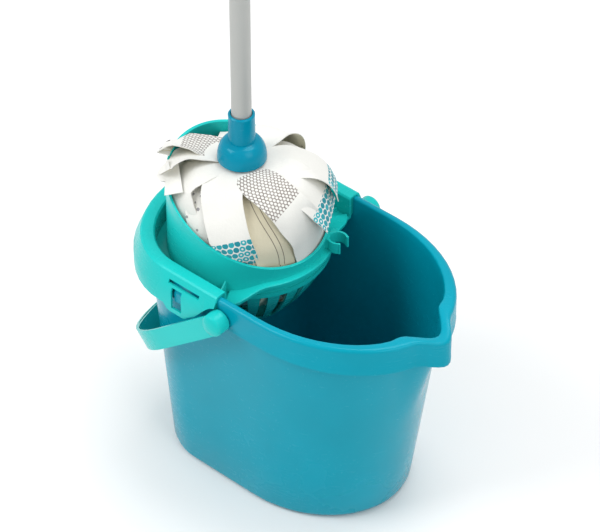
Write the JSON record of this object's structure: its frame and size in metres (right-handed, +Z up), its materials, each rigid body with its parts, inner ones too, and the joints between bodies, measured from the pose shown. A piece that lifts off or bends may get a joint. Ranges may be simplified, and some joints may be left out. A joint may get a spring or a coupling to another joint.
{
  "type": "mop and wringer bucket set",
  "caption": "Oval mop bucket with pouring spout, swinging bail and lift-out wringer basket, holding a strip mop on a sectional tube handle.",
  "frame": {"origin": "middle of the bucket's base, on the floor", "axes": "+Z up along the mop handle, +X towards the pouring spout, +Y across the bucket along the bail's pivot line"},
  "size_m": [0.3852, 0.2624, 1.5665],
  "materials": {
    "teal_plastic": "glossy moulded polypropylene",
    "deep_teal_plastic": "glossy moulded polypropylene",
    "mint_plastic": "glossy moulded polypropylene",
    "grey_tube": "satin grey coating on thin steel tube",
    "dark_plastic": "matt moulded plastic",
    "zinc_steel": "zinc plated",
    "mop_cloth": "white nonwoven cloth strips with printed ends"
  },
  "bodies": {
    "bucket": {"bucket": "teal_plastic", "catch_tabs": "teal_plastic"},
    "bail": {"bail": "mint_plastic", "bail_bosses": "mint_plastic"},
    "wringer": {"rim_collar": "mint_plastic", "gutter_floor": "mint_plastic", "gutter_dams": "mint_plastic", "funnel": "mint_plastic", "front_flange": "mint_plastic", "basket": "mint_plastic", "handle_clip": "mint_plastic"},
    "mop_head": {"mop_strips": "mop_cloth"},
    "mop_handle": {"mop_socket": "deep_teal_plastic", "clamp_plate": "zinc_steel", "clamp_screw": "zinc_steel", "thread_insert": "dark_plastic", "lower_tube": "grey_tube", "lower_joint": "deep_teal_plastic", "middle_tube": "grey_tube", "upper_joint": "deep_teal_plastic", "upper_tube": "grey_tube", "end_cap": "deep_teal_plastic"}
  },
  "joints": [
    {"name": "bail_swing", "type": "hinge", "parent": "bucket", "child": "bail", "pos_m": [-0.0035, 0, 0.2523], "axis": [0, 1, 0], "range_deg": [0, 97]},
    {"name": "wringer_lift", "type": "slide", "parent": "bucket", "child": "wringer", "axis": [0, 0, 1], "range_m": [0, 0.35]},
    {"name": "mop_lift", "type": "slide", "parent": "wringer", "child": "mop_head", "axis": [0, 0, 1], "range_m": [0, 0.3]},
    {"name": "mop_twist", "type": "hinge", "parent": "mop_head", "child": "mop_handle", "pos_m": [-0.073, 0, 0.36], "axis": [0, 0, 1], "range_deg": [-60, 60]}
  ]
}
